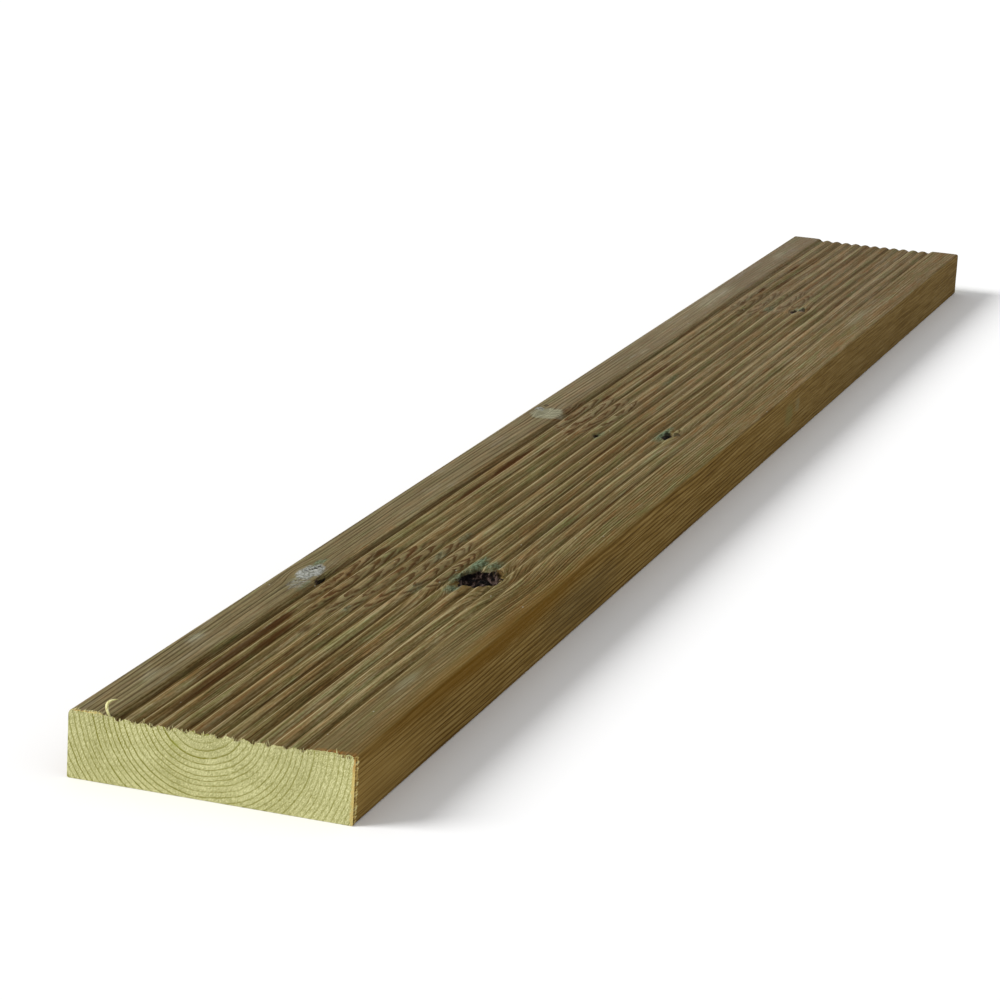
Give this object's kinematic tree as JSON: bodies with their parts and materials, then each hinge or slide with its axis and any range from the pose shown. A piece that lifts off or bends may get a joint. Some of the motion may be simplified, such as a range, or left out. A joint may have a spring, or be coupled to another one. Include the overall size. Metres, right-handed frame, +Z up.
{
  "type": "decking board",
  "caption": "Softwood decking board with a reeded top face between smooth margins, a flat underside and square-sawn ends.",
  "frame": {"origin": "middle of the board's flat underside, which rests on the joists", "axes": "+X along the board, +Y across it, +Z up through the reeded face; the pale sawn end that the picture shows is at -X"},
  "size_m": [1.2, 0.12, 0.028],
  "materials": {
    "treated_softwood": "planed and pressure treated, brown with green stains, paler on the sawn ends"
  },
  "bodies": {
    "root": {"decking_board": "treated_softwood"}
  },
  "joints": []
}
